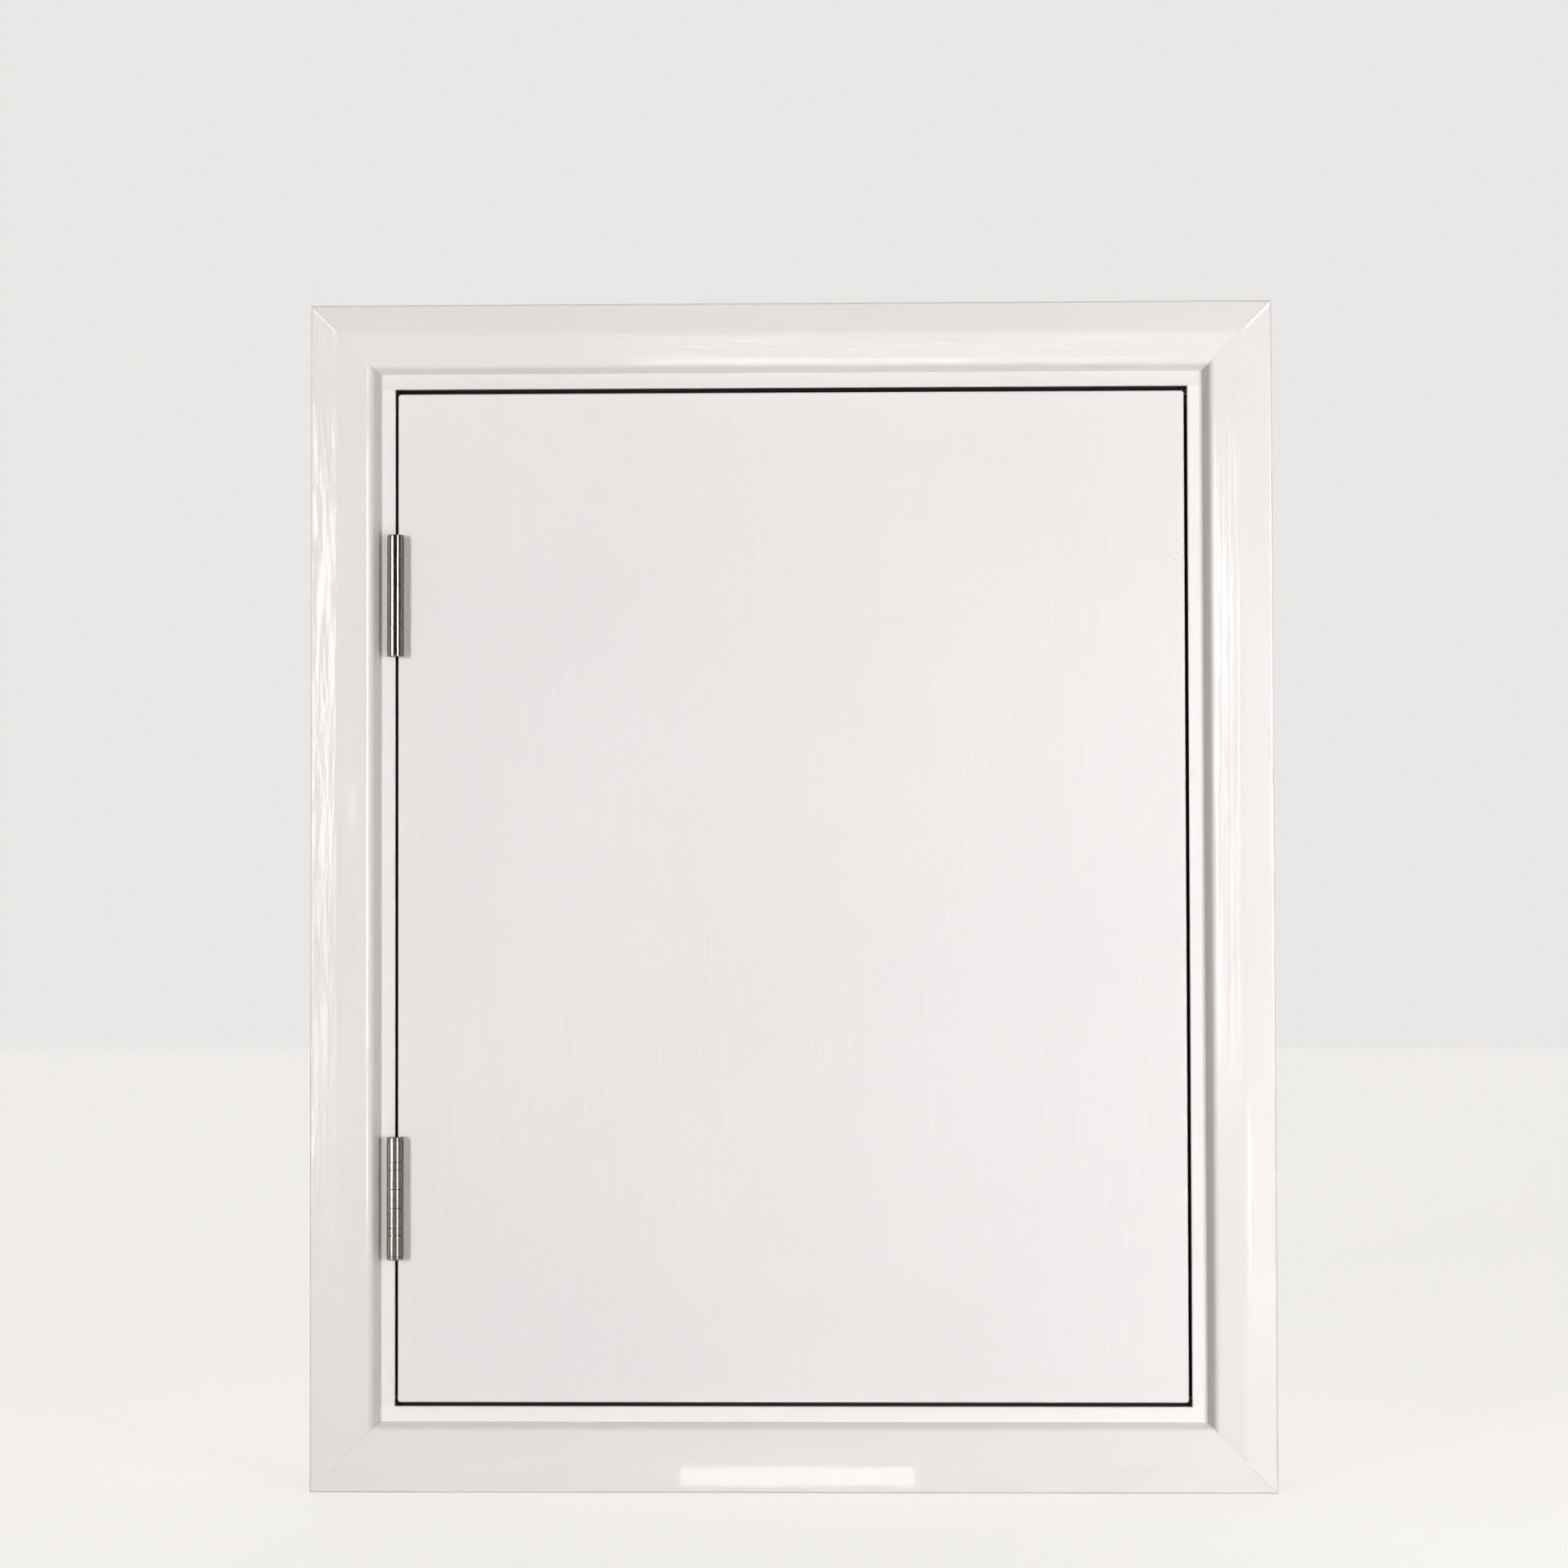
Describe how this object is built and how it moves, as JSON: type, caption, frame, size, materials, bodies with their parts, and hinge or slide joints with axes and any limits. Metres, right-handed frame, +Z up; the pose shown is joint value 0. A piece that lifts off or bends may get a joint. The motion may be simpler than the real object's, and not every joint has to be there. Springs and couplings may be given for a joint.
{
  "type": "eaves access door",
  "caption": "Small painted flush door on ball bearing butt hinges in a lined wall opening, with mitred architraves, draught seals, stops and a push latch",
  "frame": {"origin": "middle of the lining sill's underside, in the plane of the wall face that the architrave's back, the lining's front edges and the closed leaf's face share", "axes": "+X to the right as seen from the room, +Y into the wall, +Z up; the hinges are at -X"},
  "size_m": [0.635, 0.1175, 0.783],
  "materials": {
    "gloss_paint": "white gloss paint on softwood",
    "satin_paint": "white satin paint on a smooth board",
    "painted_softwood": "white satin paint on softwood edges",
    "core_board": "bare particle board",
    "seal_rubber": "matt black rubber",
    "bright_steel": "polished stainless steel",
    "zinc_steel": "zinc plated steel",
    "magnet": "sintered ferrite",
    "latch_plastic": "moulded white plastic"
  },
  "bodies": {
    "frame": {"lining_sill": "gloss_paint", "lining_head": "gloss_paint", "lining_jamb_hinge_side": "gloss_paint", "lining_jamb_latch_side": "gloss_paint", "architrave_left": "gloss_paint", "architrave_right": "gloss_paint", "architrave_top": "gloss_paint", "architrave_bottom": "gloss_paint", "stop_bottom": "gloss_paint", "stop_top": "gloss_paint", "stop_hinge_side": "gloss_paint", "stop_latch_side": "gloss_paint", "seal_bottom": "seal_rubber", "seal_top": "seal_rubber", "seal_hinge_side": "seal_rubber", "seal_latch_side": "seal_rubber", "lining_screws": "zinc_steel", "architrave_nails": "zinc_steel", "stop_nails": "zinc_steel", "upper_hinge_frame_leaf": "bright_steel", "upper_hinge_pin": "bright_steel", "upper_hinge_pin_cap": "bright_steel", "upper_hinge_bearing_cups": "bright_steel", "upper_hinge_bearing_balls": "bright_steel", "lower_hinge_frame_leaf": "bright_steel", "lower_hinge_pin": "bright_steel", "lower_hinge_pin_cap": "bright_steel", "lower_hinge_bearing_cups": "bright_steel", "lower_hinge_bearing_balls": "bright_steel", "hinge_frame_screws": "bright_steel", "touch_latch_housing": "latch_plastic", "touch_latch_nose": "latch_plastic", "touch_latch_spring": "zinc_steel", "touch_latch_screws": "zinc_steel"},
    "leaf": {"leaf_front_skin": "satin_paint", "leaf_back_skin": "satin_paint", "leaf_stile_hinge_side": "painted_softwood", "leaf_stile_latch_side": "painted_softwood", "leaf_rail_top": "painted_softwood", "leaf_rail_bottom": "painted_softwood", "leaf_core": "core_board", "upper_hinge_door_leaf": "bright_steel", "upper_hinge_bearing_washers": "bright_steel", "lower_hinge_door_leaf": "bright_steel", "lower_hinge_bearing_washers": "bright_steel", "hinge_door_screws": "bright_steel", "strike_plate": "zinc_steel", "strike_screws": "zinc_steel"},
    "latch_plunger": {"touch_latch_plunger": "latch_plastic", "touch_latch_magnet": "magnet"}
  },
  "joints": [
    {"name": "leaf_swing", "type": "hinge", "parent": "frame", "child": "leaf", "pos_m": [-0.2621, -0.006, 0.362], "axis": [0, 0, -1], "range_deg": [0, 170]},
    {"name": "latch_plunger_slide", "type": "slide", "parent": "frame", "child": "latch_plunger", "axis": [0, 1, 0], "range_m": [0, 0.0035], "stiffness_N_per_m": 150, "springref_m": -0.01, "deforming": ["touch_latch_spring"]}
  ]
}
